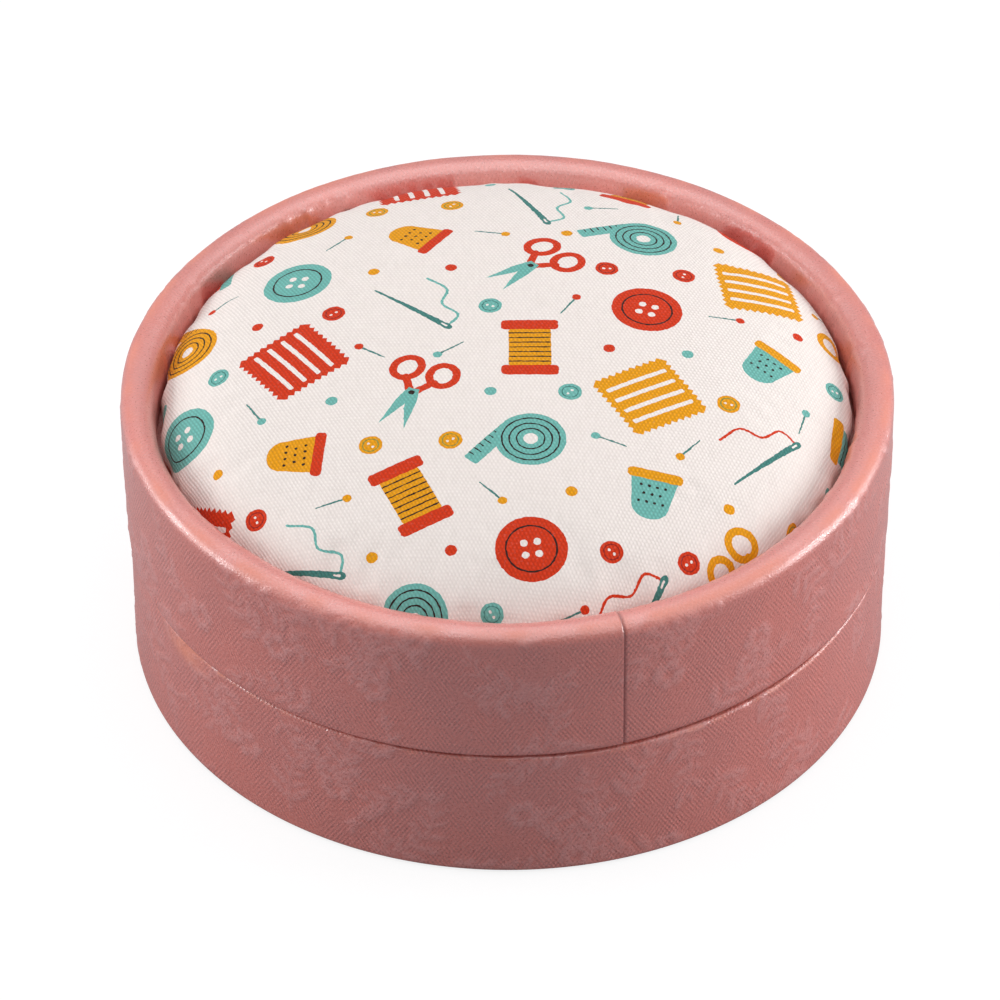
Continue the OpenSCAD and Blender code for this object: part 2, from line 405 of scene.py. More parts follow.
def cotton_material():
    """Printed twill: the ink colour rides on the tops of the threads."""
    mat = Material("printed_cotton")
    cloth = mat.attribute("cloth")
    ink = mat.attribute("ink", "Color")
    # yarns wander a little, so the twill is not a perfect lattice
    shifted = mat.vector("ADD", cloth, (17.0, 5.0, 0.0))
    drift = [mat.mul(mat.sub(mat.noise(place, scale=0.22), 0.5), 0.55)
             for place in (cloth, shifted)]
    yarns = mat.vector("ADD", cloth, mat.xyz(*drift, 0.0))
    rising = mat.wave(yarns, freq=(2.11, 1.06))
    falling = mat.wave(yarns, freq=(1.95, -0.92))
    cross = mat.wave(yarns, freq=(0.16, 1.98))
    depth = mat.remap(mat.noise(cloth, scale=0.9), span=(0.3, 0.7), to=(0.65, 1.15))
    # one diagonal is stronger at the left, the other at the right
    side = mat.axis(cloth, 0)
    diagonals = mat.add(mat.mul(rising, mat.remap(side, span=(-30.0, 30.0), to=(0.66, 0.34))),
                        mat.mul(falling, mat.remap(side, span=(-30.0, 30.0), to=(0.26, 0.50))))
    weave = mat.mul(mat.add(diagonals, mat.mul(cross, 0.22)), depth)     # about -1 to 1
    inked = mat.remap(mat.node("ShaderNodeSeparateColor", (ink,)).outputs[2],
                      span=(0.78, 0.50), to=(0.0, 1.0))
    # the weave shades bare cloth by 0.085 and inked cloth by 0.10 more
    tint = mat.add(1.0, mat.mul(weave, mat.add(0.085, mat.mul(inked, 0.10))))
    for stretch, to in (((2.4, 0.35, 1.0), (0.975, 1.02)), ((0.35, 2.4, 1.0), (0.98, 1.015))):
        slub = mat.noise(mat.vector("MULTIPLY", cloth, stretch), scale=1.0, detail=3.0, rough=0.6)
        tint = mat.mul(tint, mat.remap(slub, span=(0.3, 0.7), to=to))
    # green and blue vary more than red
    warm_tint = mat.rgb(tint, mat.math("POWER", tint, 1.12), mat.math("POWER", tint, 1.2))
    base = mat.mix(1.0, ink, warm_tint, "MULTIPLY")
    # a little ground colour shows where ink missed the hollows
    missed = mat.mul(mat.remap(mat.noise(cloth, scale=2.6, rough=0.6), span=(0.56, 0.80)), 0.09)
    base = mat.mix(missed, base, (0.88, 0.80, 0.75))
    height = mat.add(weave, mat.mul(mat.noise(cloth, scale=5.0), 0.6))
    return mat.set(Base_Color=base, Roughness=0.78, Specular_IOR_Level=0.18,
                   Normal=mat.bump(height, distance=0.000034, strength=0.9),
                   Sheen_Weight=0.06, Sheen_Roughness=0.5, Sheen_Tint=(1.0, 0.97, 0.95))


def plain_cloth_material(name, colour):
    mat = Material(name)
    coord = mat.coord()
    threads = mat.add(mat.wave(coord, freq=(2870.0, 0.0)), mat.wave(coord, freq=(0.0, 2870.0)))
    fuzz = mat.noise(coord, scale=700.0, detail=4.0, rough=0.7, distort=0.8)
    base = mat.mix(mat.remap(fuzz, span=(0.3, 0.7)), shade(colour, 0.82), colour)
    height = mat.add(mat.mul(threads, 0.3), fuzz)
    return mat.set(Base_Color=base, Roughness=0.9,
                   Normal=mat.bump(height, distance=0.00008, strength=0.8))


# ------------------------------------------------------------ paper sheets
# Paths are (radius, z) points along the outer face of the paper.
def path_arc(x, z, radius, start, end, step):
    count = max(2, int(abs(math.radians(end - start)) * radius / step))
    angle = np.radians(np.linspace(start, end, count + 1))
    return np.stack([x + radius * np.cos(angle), z + radius * np.sin(angle)], 1)


def path_line(start, end, step):
    count = max(1, int(round(math.dist(start, end) / step)))
    t = np.linspace(0, 1, count + 1)[:, None]
    return np.array(start) * (1 - t) + np.array(end) * t


def join_paths(parts):
    """The whole path, and the index at which each part ends."""
    path = np.concatenate([parts[0], *(p[1:] for p in parts[1:])])
    return path, np.cumsum([len(p) - 1 for p in parts])


def leaf_pattern(seed, radius):
    """A scroll of leaves, stems and small round flowers, in sheet millimetres.

    Leaves are (x, z, angle, length, width); spots are (x, z, radius, height, edge)."""
    rng = np.random.RandomState(seed)
    leaves, spots = [], []
    width = TAU * radius
    count = int(round(width / 12.5))
    step = 0.42
    for row in range(-1, 6):
        for i in range(count):
            root_x = (i + (0.5 if row % 2 else 0.0)) * width / count + rng.uniform(-2.0, 2.0)
            root_z = row * 9.0 + 1.5 + rng.uniform(-1.6, 1.6)
            angle = rng.uniform(0, TAU)
            side = rng.choice([-1, 1])
            curl = rng.uniform(0.06, 0.17) * side
            x, z = root_x, root_z
            for k in range(30):
                spots.append((x, z, 0.34, 0.8, 0.6))          # stem
                x += step * math.cos(angle)
                z += step * math.sin(angle)
                angle += curl * step
                if k % 5 == 3:
                    for turn in (-1, 1):
                        lean = angle + turn * rng.uniform(0.6, 1.1)
                        length = rng.uniform(2.8, 4.8) * (1 - 0.016 * k)
                        leaves.append((x + math.cos(lean) * length / 2,
                                       z + math.sin(lean) * length / 2,
                                       lean, length, length * rng.uniform(0.30, 0.42)))
            leaves.append((x + math.cos(angle) * 1.4, z + math.sin(angle) * 1.4, angle, 2.8, 0.95))
            if rng.rand() < 0.4:
                x, z = root_x + rng.uniform(-1, 1), root_z + rng.uniform(-1, 1)
                for p in range(6):
                    turn = p * TAU / 6 + rng.uniform(0, 0.4)
                    spots.append((x + 1.5 * math.cos(turn), z + 1.5 * math.sin(turn),
                                  0.95, 1.0, 0.4))            # petal
    return leaves, spots, width


PATTERN = leaf_pattern(11, 47.4)


def motif_field(around, up):
    """0 to 1 over the sheet: 1 on raised leaves and petals."""
    leaves, spots, width = PATTERN
    order = np.argsort(around, axis=None)
    xs, zs = around.ravel()[order], up.ravel()[order]
    raised = np.zeros_like(xs)

    def windows(x, reach):
        for shift in (-width, 0, width):
            first, last = np.searchsorted(xs, (x + shift - reach, x + shift + reach))
            if last > first:
                part = slice(first, last)
                yield part, xs[part] - (x + shift)

    for x, z, angle, length, leaf_width in leaves:
        c, s = math.cos(angle), math.sin(angle)
        for part, dx in windows(x, length * 0.6):
            dz = zs[part] - z
            along, across = (dx * c + dz * s) / (length / 2), dx * -s + dz * c
            half = leaf_width / 2 * np.clip(1 - along * along, 0, 1) ** 0.8
            body = smooth(1 - np.abs(across) / np.maximum(half, 1e-6), 0.0, 0.45)
            vein = 1 - 0.45 * bell(across, 0, 0.14)
            leaf = np.where(np.abs(along) < 1, body, 0) * vein
            raised[part] = np.maximum(raised[part], leaf)
    for x, z, radius, height, edge in spots:
        for part, dx in windows(x, radius):
            away = np.hypot(dx, zs[part] - z) / radius
            raised[part] = np.maximum(raised[part], height * smooth(1 - away, 0.0, edge))
    field = np.zeros_like(around)
    field.ravel()[order] = raised
    return field


COLUMNS = 800                                     # even columns round a sheet
LAP = 0.13                                        # rise of the upper layer at the seam


def paper_cover(name, path, zero_at, radius, seam_deg, shape, material, node, part):
    """A closed sheet of covering paper, revolved from its outer path.

    shape(theta, phi, around, up, height, row) gives the offsets along the normal, in
    radius and in z, then the wear, the seam's relief and the motif."""
    length = arc_length(path)
    slope = unit(np.gradient(path, axis=0))
    normal = np.stack([slope[:, 1], -slope[:, 0]], 1)
    length = length - length[zero_at] + path[zero_at, 1]
    rows = len(path)
    # back face: fewer rows, one paper thickness inside
    keep = [rows - 1]
    for i in range(rows - 2, 0, -1):
        turn = 1 - abs(float(normal[i] @ normal[keep[-1]]))
        if abs(length[keep[-1]] - length[i]) > 1.6 or turn > 0.04:
            keep.append(i)
    keep.append(0)
    keep = np.array(keep)
    path = np.concatenate([path, path[keep] - normal[keep] * PAPER])
    normal = np.concatenate([normal, normal[keep]])
    length = np.concatenate([length, length[keep]])
    is_front = np.concatenate([np.ones(rows), np.zeros(len(keep))])
    row_count = len(path)
    # columns: even, with a few packed at the lap seam
    girth = TAU * radius
    t = np.linspace(0, girth, COLUMNS, endpoint=False)[1:]
    t = t[(t > 0.8) & (t < girth - 0.5)]
    t = np.concatenate([[0.0, 0.05, 0.24, 0.34, 0.55], t, [girth - 0.28, girth - 0.02]])
    count = len(t)
    around, up = np.meshgrid(t, length)
    theta, height = np.meshgrid(math.radians(seam_deg) + t / radius, path[:, 1])
    phi = (np.degrees(theta - FRONT) + 180) % 360 - 180      # degrees from the front
    row = np.repeat(np.arange(row_count)[:, None], count, 1)
    out, out_r, out_z, wear, relief, motif = shape(theta, phi, around, up, height, row)
    # lap seam: the covering ends on itself, top layer before t = 0
    step = np.interp(t, [0, 0.05, 0.24, 0.34, 0.55, 1.2, girth - 12, girth - 9,
                         girth - 0.28, girth - 0.02],
                     [-0.16, -0.17, -0.12, -0.02, 0, 0, 0, 0.3 * LAP, LAP, LAP])
    out = (out + step[None, :] * relief) * is_front[:, None]
    ring_r = path[:, 0][:, None] + normal[:, 0][:, None] * out + out_r
    z = path[:, 1][:, None] + normal[:, 1][:, None] * out + out_z
    verts = np.stack([ring_r * np.cos(theta), ring_r * np.sin(theta), z], 2).reshape(-1, 3)
    i, j = np.meshgrid(np.arange(count), np.arange(row_count))
    i2, j2 = (i + 1) % count, (j + 1) % row_count
    quads = np.stack([j * count + i, j * count + i2, j2 * count + i2, j2 * count + i], 2)
    mesh = new_mesh(name, verts, [quads.reshape(-1, 4)])
    # sheet coordinates per corner, so the seam column does not smear
    ts = np.append(t, girth)
    ups = np.append(length, length[-1])
    corner_t = np.stack([ts[i], ts[i + 1], ts[i + 1], ts[i]], 2)
    corner_up = np.stack([ups[j], ups[j], ups[j + 1], ups[j + 1]], 2)
    sheet = np.stack([corner_t, corner_up, np.zeros_like(corner_t)], 3)
    add_attribute(mesh, "sheet", "FLOAT_VECTOR", "CORNER", sheet)
    # painted shade mask: darkens the colour along the seam's groove and the top layer's edge
    seam = bell(around, 0.10, 0.17) + bell(around - girth, 0.06, 0.10)
    for key, data in (("seam", seam * np.clip(relief, 0, 1)), ("motif", motif), ("wear", wear)):
        add_attribute(mesh, key, "FLOAT", "POINT", data)
    new_cover(name + "_cover", mesh, material, node, part)


def sheet_noise(seed, columns, radius):
    """Broad, middling and fine noise over a sheet."""
    sizes = ((columns, 4), (70, 10), (420, 70))
    return [Field(seed + k, *size, TAU * radius, 60) for k, size in enumerate(sizes)]


# ------------------------------------------------------------- lid's paper
LID_SHEET_R = 47.5
# degrees from the front, then the rise of the lid's lower edge there
LID_EDGE = (
    [-180, -120, -90, -62, -47, -32, -5, 6, 16.3, 16.9, 25, 38, 50, 64, 90, 130, 180],
    [-0.05, 0.05, -0.30, -0.44, -0.26, -0.04, 0.02, 0.08, 0.19, 0.10, 0.19, 0.21, 0.12,
     -0.30, -0.30, 0.05, -0.05])
# degrees from the front, then how far the paper stands off the tube inside the rim
STAND_OFF = (
    [-180, -150, -120, -105, -90, -75, -60, -45, -30, -15, 0,
     15, 30, 45, 60, 75, 90, 105, 120, 150, 180],
    [0.55, 0.50, 0.62, 0.80, 0.48, 0.20, 0.20, 0.66, 0.70, 0.62, 0.34,
     0.42, 0.46, 0.50, 0.48, 0.76, 0.74, 0.80, 0.70, 0.62, 0.55])
# folds inside the rim at the back left, back right and right:
# degrees from the front, height, width, slant
FOLDS = ((-152, 0.26, 1.5, 0.5), (-140, 0.20, 1.1, -0.3), (-118, 0.16, 1.4, 0.2),
         (152, 0.22, 1.3, -0.5), (128, 0.18, 1.0, 0.2), (112, 0.2, 1.6, 0.45),
         (75, 0.24, 1.3, -0.4), (98, 0.2, 1.0, 0.3), (62, 0.16, 1.2, 0.2))


def lid_path():
    edge_r = 0.3                                  # small round at each fold
    well = WELL_Z + 0.28                          # paper lying on the well's floor
    return join_paths([
        path_line((LID_INNER_R, LID_BOTTOM + 8), (LID_INNER_R, LID_BOTTOM + edge_r), 1.2),
        path_arc(LID_INNER_R + edge_r, LID_BOTTOM + edge_r, edge_r, 180, 270, 0.12),
        path_line((LID_INNER_R + edge_r, LID_BOTTOM), (LID_R - edge_r, LID_BOTTOM), 0.6),
        path_arc(LID_R - edge_r, LID_BOTTOM + edge_r, edge_r, 270, 360, 0.12),
        path_line((LID_R, LID_BOTTOM + edge_r), (LID_R, ROLL_Z), 0.42),
        path_arc(ROLL_MID_R, ROLL_Z, ROLL_R, 0, 180, 0.26),
        path_line((LID_INNER_R, ROLL_Z), (LID_INNER_R, WELL_Z + 0.58), 0.42),
        path_arc(LID_INNER_R - edge_r, WELL_Z + 0.58, edge_r, 0, -90, 0.12),
        path_line((LID_INNER_R - edge_r, well), (41.6, well), 0.6),
    ])


def make_lid_paper(material):
    path, ends = lid_path()
    wall_start, roll_start, roll_end = ends[3:6]
    rows = len(path)
    rng = np.random.RandomState(5)
    big, mid, fine = sheet_noise(21, 24, LID_SHEET_R)
    # pleats of the paper where it is turned down into the well:
    # azimuth, height, width, slant, distance past the roll at which they start
    pleats = [(rng.uniform(0, TAU), rng.uniform(0.06, 0.18), rng.uniform(0.35, 0.95),
               rng.uniform(-0.35, 0.35), rng.uniform(0.0, 1.8)) for _ in range(70)]
    pleats += [(FRONT + math.radians(deg), *fold, 0.0) for deg, *fold in FOLDS]

    def shape(theta, phi, around, up, height, row):
        # angle round the rim's roll: 0 on the outer wall, 180 on the inner
        angle = np.zeros(len(row))
        angle[roll_start:roll_end + 1] = np.linspace(0, 180, roll_end - roll_start + 1)
        angle[roll_end + 1:rows] = 180
        angle = angle[:, None] * np.ones_like(around)
        outside = ((row > wall_start) & (row < rows)).astype(float)
        outer = outside * smooth(angle, 175, 60)
        inner = outside * smooth(angle, 92, 150)
        relief = np.where(row < rows, smooth(up, LID_BOTTOM - 1.5, LID_BOTTOM + 0.6), 0)
        relief = relief * smooth(angle, 180, 110)
        motif = motif_field(around, up) * outer * smooth(angle, 60, 8)
        out = 0.095 * motif
        out += outer * (0.06 * big(around, up) + 0.035 * mid(around, up)
                        + 0.010 * fine(around, up))
        run = np.maximum(up - (ROLL_Z + math.radians(60) * ROLL_R), 0)
        for azimuth, rise, width, slant, fade in pleats:
            x = ((theta - azimuth + math.pi) % TAU - math.pi) * 44.0 - slant * (run - 2.5)
            ridge = (np.exp(-(np.abs(x) / (width * 0.55)) ** 1.35)
                     - 0.35 * bell(x, 1.1 * width, width * 0.6))
            out += inner * rise * ridge * smooth(run, fade, fade + 4.2)
        out += inner * (0.05 * mid(around, up * 2) + 0.02 * fine(around, up))
        stand = np.interp(phi, *STAND_OFF)
        out += stand * outside * smooth(angle, 78, 165) * (0.82 + 0.36 * smooth(run, 1.0, 5.0))
        out += 0.30 * outside * smooth(run, 2.6, 5.6)
        # a slight swelling of the rim at the front left
        out += (0.10 * outside * bell(phi, -50, 22) * smooth(angle, 0, 60)
                * smooth(angle, 170, 90))
        # slightly out of round, but not in the sleeve
        out_r = 0.14 * np.cos(2 * (theta - math.radians(172))) + 0.05 * np.cos(3 * (theta - 0.6))
        out_r = (out_r * smooth(height, LID_BOTTOM + 2, LID_BOTTOM + 10)
                 * smooth(up, LID_BOTTOM - 1.0, LID_BOTTOM + 0.5))
        # the lower edge wanders, so the gap below it is uneven
        out_z = np.interp(phi, *LID_EDGE) * smooth(height, LID_BOTTOM + 7, LID_BOTTOM)
        # flat where it meets the floor of the well
        out *= np.where((row < rows) & (row > roll_end),
                        smooth(height, WELL_Z + 0.3, WELL_Z + 1.3), 1.0)
        patches = np.clip(0.5 + 0.9 * mid(around * 2, up), 0, 1)
        wear = 0.55 * outside * bell(angle, 62, 26) * patches
        return out, out_r, out_z, wear, relief, motif

    paper_cover("lid_paper", path, wall_start, LID_SHEET_R, -90 + 16.6, shape, material,
                "lid_wrap", "lid")


# ------------------------------------------------------------ base's paper
BASE_SHEET_R = 47.2
# degrees from the front, then a value from 0 to 1
BASE_EDGE_DROP = ([-44, -20, 0, 10, 50, 66], [0, 0.5, 0.6, 1.0, 1.0, 0.0])
# rub on the base's top edge: real wear at the front left; at the front right a lighter band, a
# painted highlight, that also dulls the paper's shine
BASE_RUB_AND_HIGHLIGHT = ([-78, -68, -50, -40, 2, 14, 48, 60], [0, 0.9, 0.9, 0.45, 0.3, 0.50, 0.50, 0.2])


def base_path():
    edge_r = 0.5
    outer, inner = BASE_R - edge_r, BASE_INNER_R + edge_r
    low, high = BASE_BOTTOM + edge_r, BASE_TOP - edge_r
    return join_paths([
        path_line((BASE_R - 8, BASE_BOTTOM), (outer, BASE_BOTTOM), 0.9),
        path_arc(outer, low, edge_r, 270, 360, 0.14),
        path_line((BASE_R, low), (BASE_R, high), 0.42),
        path_arc(outer, high, edge_r, 0, 90, 0.12),
        path_line((outer, BASE_TOP), (inner, BASE_TOP), 0.5),
        path_arc(inner, high, edge_r, 90, 180, 0.2),
        path_line((BASE_INNER_R, high), (BASE_INNER_R, BASE_TOP - 8), 1.2),
    ])


def make_base_paper(material):
    path, ends = base_path()
    wall_start, wall_end = ends[1:3]
    rows = len(path)
    big, mid, fine = sheet_noise(31, 22, BASE_SHEET_R)
    edge = Field(34, 300, 4, TAU * BASE_SHEET_R, 60)

    def shape(theta, phi, around, up, height, row):
        outside = ((row >= wall_start) & (row < rows)).astype(float)
        side = outside * smooth(height, 0.2, 1.2) * smooth(row, wall_end + 14, wall_end + 2)
        motif = motif_field(around + 90.0, up) * side
        out = 0.095 * motif
        out += side * (0.05 * big(around, up) + 0.03 * mid(around, up)
                       + 0.010 * fine(around, up))
        top = outside * smooth(height, BASE_TOP - 1.3, BASE_TOP - 0.2)
        out += top * 0.03 * edge(around, up)
        # a knocked spot on the edge at the front left and a small chip at the front right
        out -= top * 0.16 * bell(phi, -54, 3.2) * smooth(height, BASE_TOP - 1.6, BASE_TOP)
        out -= top * 0.12 * bell(phi, 38.5, 0.7)
        out_r = 0.10 * np.cos(2 * (theta - math.radians(160)))
        out_z = (-0.19 * np.interp(phi, *BASE_EDGE_DROP)
                 * smooth(height, BASE_TOP - 3, BASE_TOP - 0.4))
        spots = np.clip(0.45 + 1.2 * edge(around * 1.7, up), 0, 1)
        # the rub lightens the top edge: real wear at the front left, a painted highlight at the
        # front right
        wear = outside * bell(height, BASE_TOP - 0.25, 0.28) * np.interp(phi, *BASE_RUB_AND_HIGHLIGHT) * spots
        wear += 0.8 * outside * bell(phi, -57, 4.5) * bell(height - BASE_TOP, -1.6, 1.5)
        return out, out_r, out_z, np.clip(wear, 0, 1), side, motif

    paper_cover("base_paper", path, wall_start, BASE_SHEET_R, 118, shape, material,
                "base_wrap", "base")


# --------------------------------------------------------- the cotton print
# Every motif below is a plain drawing of a common sewing notion, in millimetres.
INKS = {
    "ground": lin(244, 233, 226),
    "mustard": lin(232, 156, 8),
    "red": lin(211, 54, 14),
    "teal": lin(112, 181, 171),
    "black": lin(44, 29, 25),
    "sage": lin(139, 142, 66),
    "brick": lin(150, 36, 28),
    "deep": lin(66, 128, 120),
}
BUTTON_RIMS = {"red": "brick", "mustard": "sage", "teal": "deep"}
layers = []                                       # (ink, outline, holes), later ones on top
edge_noise = Field(77, 560, 560, 120, 120)


def resample(points, step, closed=True):
    points = np.asarray(points, float)
    ends = np.concatenate([points, points[:1]]) if closed else points
    parts = []
    for start, end in zip(ends[:-1], ends[1:]):
        count = max(1, int(math.ceil(math.dist(start, end) / step)))
        parts.append(start + (end - start) * np.linspace(0, 1, count, endpoint=False)[:, None])
    if not closed:
        parts.append(ends[-1:])
    return np.concatenate(parts)


def moved(points, x=0, y=0, rot=0, scale=1.0):
    c, s = math.cos(math.radians(rot)) * scale, math.sin(math.radians(rot)) * scale
    p = np.asarray(points, float)
    return np.stack([x + p[:, 0] * c - p[:, 1] * s, y + p[:, 0] * s + p[:, 1] * c], 1)


def area(points):
    x, y = points[:, 0], points[:, 1]
    return 0.5 * float(np.sum(x * np.roll(y, -1) - np.roll(x, -1) * y))


def grow(points, distance):
    """Closed outline moved outwards."""
    points = resample(points, 0.35)
    if area(points) < 0:
        points = points[::-1]
    along = unit(np.roll(points, -1, 0) - np.roll(points, 1, 0))
    return points + np.stack([along[:, 1], -along[:, 0]], 1) * distance


def curve(points):
    """Smooth open curve through the points."""
    p = np.asarray(points, float)
    p = np.concatenate([2 * p[:1] - p[1:2], p, 2 * p[-1:] - p[-2:-1]])
    t = np.linspace(0, 1, 14, endpoint=False)[:, None]
    parts = [catmull(*p[i - 1:i + 3], t) for i in range(1, len(p) - 2)]
    return np.concatenate([*parts, p[-2:-1]])


def stroke(points, width, end_width=None):
    """Open brush line with round ends and a slightly uneven width."""
    p = resample(points, 0.35, closed=False)
    half = np.linspace(width, width if end_width is None else end_width, len(p)) / 2
    waver = edge_noise(p[:, 0] * 1.3 + 9, p[:, 1] * 1.3)
    half = half * (1 + 0.16 * min(1.0, 0.35 / max(width, 0.1)) * waver)
    along = unit(np.gradient(p, axis=0))
    side = np.stack([along[:, 1], -along[:, 0]], 1)
    turns = (math.pi / 4, math.pi / 2, 3 * math.pi / 4)
    end_cap, start_cap = ([p[k] + sign * along[k] * half[k] * math.sin(a)
                           + sign * side[k] * half[k] * math.cos(a) for a in turns]
                          for k, sign in ((-1, 1), (0, -1)))
    return np.concatenate([p + side * half[:, None], end_cap,
                           (p - side * half[:, None])[::-1], start_cap])


def ellipse(x, y, rx, ry=None, rot=0, end=360):
    ry = rx if ry is None else ry
    count = max(14, int(math.radians(end) * max(rx, ry) / 0.33))
    angle = np.radians(np.linspace(0, end, count, endpoint=end < 360))
    return moved(np.stack([rx * np.cos(angle), ry * np.sin(angle)], 1), x, y, rot)


def round_rect(x0, y0, x1, y1, r):
    points = []
    for x, y, start in ((x1 - r, y1 - r, 0), (x0 + r, y1 - r, 90),
                        (x0 + r, y0 + r, 180), (x1 - r, y0 + r, 270)):
        for angle in np.radians(np.linspace(start, start + 90, 7)):
            points.append((x + r * math.cos(angle), y + r * math.sin(angle)))
    return np.array(points)


def put(ink, outline, holes=()):
    """Print one shape, its edge roughened a little."""
    def rough(points):
        p = resample(points, 0.36)
        return p + 0.045 * np.stack([edge_noise(p[:, 0] * 2.1, p[:, 1] * 2.1),
                                     edge_noise(p[:, 1] * 2.1 + 40, p[:, 0] * 2.1 + 40)], 1)
    layers.append((ink, rough(outline), [rough(h) for h in holes]))


def ring(ink, outline, width):
    put(ink, grow(outline, width / 2), [grow(outline, -width / 2)])


# Each notion takes the function that places it and two inks; some use only the first.
def reel(at, thread, flange):
    put(thread, at(round_rect(-2.6, -3.6, 2.6, 3.6, 0.5)))
    for k in range(7):
        put("black", at(stroke([(-2.5, -2.7 + 0.9 * k), (2.5, -2.7 + 0.9 * k)], 0.20)))
    for y in (-4.3, 4.3):
        put(flange, at(round_rect(-3.5, y - 0.9, 3.5, y + 0.9, 0.5)))


def swatch(at, ink, _):
    """Patch of cloth with a zigzag cut edge and plain stripes."""
    half, tooth, edge = 4.9, 0.49, []
    corners = [(-half, -half), (half, -half), (half, half), (-half, half)]
    for (x0, y0), (x1, y1) in zip(corners, corners[1:] + corners[:1]):
        for k in range(20):
            f, out = k / 20, tooth * (k % 2)
            edge.append((x0 + (x1 - x0) * f + (y1 - y0) / (2 * half) * out,
                         y0 + (y1 - y0) * f - (x1 - x0) / (2 * half) * out))
    put(ink, at(np.array(edge)))
    for x in (-3.0, -1.0, 1.0, 3.0):
        put("ground", at(round_rect(x - 0.32, -4.3, x + 0.32, 4.3, 0.2)))


def scissors(place, handle, blade):
    def at(points):
        return place(np.asarray(points, float) * 0.88)

    for side in (1, -1):
        put(handle, at(stroke([(0, 0), (2.2 * side, -3.2)], 1.3, 1.0)))
        ring(handle, at(ellipse(2.7 * side, -4.9, 1.9, 2.2, -12 * side)), 1.0)
    tip = [(-0.9, -1.0), (0.8, -1.2), (1.5, 1.6), (1.9, 6.6), (0.3, 3.0)]
    put(blade, at(tip))
    put(blade, at([(-x, y) for x, y in tip[::-1]]))
    put("black", at(ellipse(0, -0.3, 0.45)))


def big_button(at, ink, _):
    put(ink, at(ellipse(0, 0, 4.4)))
    ring("black", at(ellipse(0, 0, 3.1)), 0.22)
    for k in range(4):
        angle = math.radians(45 + 90 * k)
        put("ground", at(ellipse(1.15 * math.cos(angle), 1.15 * math.sin(angle), 0.48)))


def needle(at, thread, _):
    tail = curve([(5.0, 3.0), (3.2, 5.0), (0.4, 3.8), (-2.2, 5.2), (-5.2, 3.6)])
    put(thread, at(stroke(tail, 0.34)))
    put("deep", at(stroke([(-5.2, -3.2), (5.2, 3.2)], 0.26, 0.95)))
    put("ground", at(stroke([(4.2, 2.6), (4.9, 3.0)], 0.26)))


def tape(at, ink, _):
    """Tape measure, coiled, with plain ticks and no numbers."""
    put(ink, at(round_rect(0, -4.3, 7.4, -2.3, 0.3)))
    for k in range(7):
        x = 1.0 + 0.9 * k
        put("black", at(stroke([(x, -4.2), (x, -3.6 + 0.4 * (k % 2))], 0.18)))
    put(ink, at(ellipse(0, 0, 4.3)))
    for radius in (3.5, 2.6, 1.7):
        ring("black", at(ellipse(0, 0, radius)), 0.20)
    put("ground", at(ellipse(0, 0, 0.9)))


def thimble(at, ink, band):
    dome = ellipse(0, 1.2, 2.3, 2.0, end=180)
    put(ink, at(np.concatenate([[(-2.9, -2.8), (2.9, -2.8)], dome])))
    put(band, at(round_rect(-3.4, -4.0, 3.4, -2.6, 0.5)))
    for j in range(3):
        for i in range(4 - j % 2):
            put("black", at(ellipse(-1.5 + 1.0 * i + 0.5 * (j % 2), -1.6 + 1.2 * j, 0.20)))


def small_pin(x, y, rot, ink):
    put("deep", moved(stroke([(-2.4, 0), (2.2, 0)], 0.24, 0.34), x, y, rot, 0.8))
    put(ink, moved(ellipse(2.5, 0, 0.72), x, y, rot, 0.8))


def small_button(x, y, rot, ink):
    radius = 1.45
    put(ink, ellipse(x, y, radius))
    ring(BUTTON_RIMS[ink], ellipse(x, y, radius * 0.68), 0.14)
    for k in range(2):
        angle = math.radians(rot) + k * TAU / 2
        put("ground", ellipse(x + radius * 0.27 * math.cos(angle),
                              y + radius * 0.27 * math.sin(angle), radius * 0.13))


NOTIONS = (reel, swatch, scissors, big_button, needle, tape, thimble)


def draw_print():
    """Half-drop repeat of the notions, placed, turned and coloured by rule."""
    pitch, reach = 16.5, 53
    inks = ("mustard", "red", "teal")
    for i in range(-4, 5):
        for j in range(-4, 5):
            x, y = i * pitch * 0.88 + 3.0, (j + 0.5 * (i % 2)) * pitch - 2.0
            rot = (i * 73 + j * 131) % 360
            one, two = inks[(i + j) % 3], inks[(i + j + 1) % 3]

            def at(points, x=x, y=y, rot=rot):
                return moved(points, x, y, rot)

            if math.hypot(x, y) < reach:
                NOTIONS[(3 * i + 2 * j) % 7](at, one, two)
            # small fillers in the gaps between the motifs
            for k, (dx, dy) in enumerate(((0.293, 0.5), (0.587, 1.0))):
                gap_x, gap_y = x + dx * pitch, y + dy * pitch
                if math.hypot(gap_x, gap_y) < reach:
                    kind = (i + 2 * j + k) % 3
                    if kind == 0:
                        small_pin(gap_x, gap_y, rot + 60, two)
                    elif kind == 1:
                        small_button(gap_x, gap_y, rot, inks[(i + j + k) % 3])
                    else:
                        put(inks[(i + j + 2) % 3], ellipse(gap_x, gap_y, 0.75))


# ------------------------------------------------------------- the cushion
LOW_R = 2.6                                       # round of the lower edge
HEM = 9.0                                         # width of the cloth turned underneath
FULLNESS = 2.2                                    # superellipse power of the dome
WIDE_Z = CUSH_BOTTOM + LOW_R + 0.6                # height where it is widest
CLOTH = 0.38                                      # cloth thickness
SIM_SCALE = 10 * MM                               # the cloth is worked at ten times size
SIM_FRAMES = 20


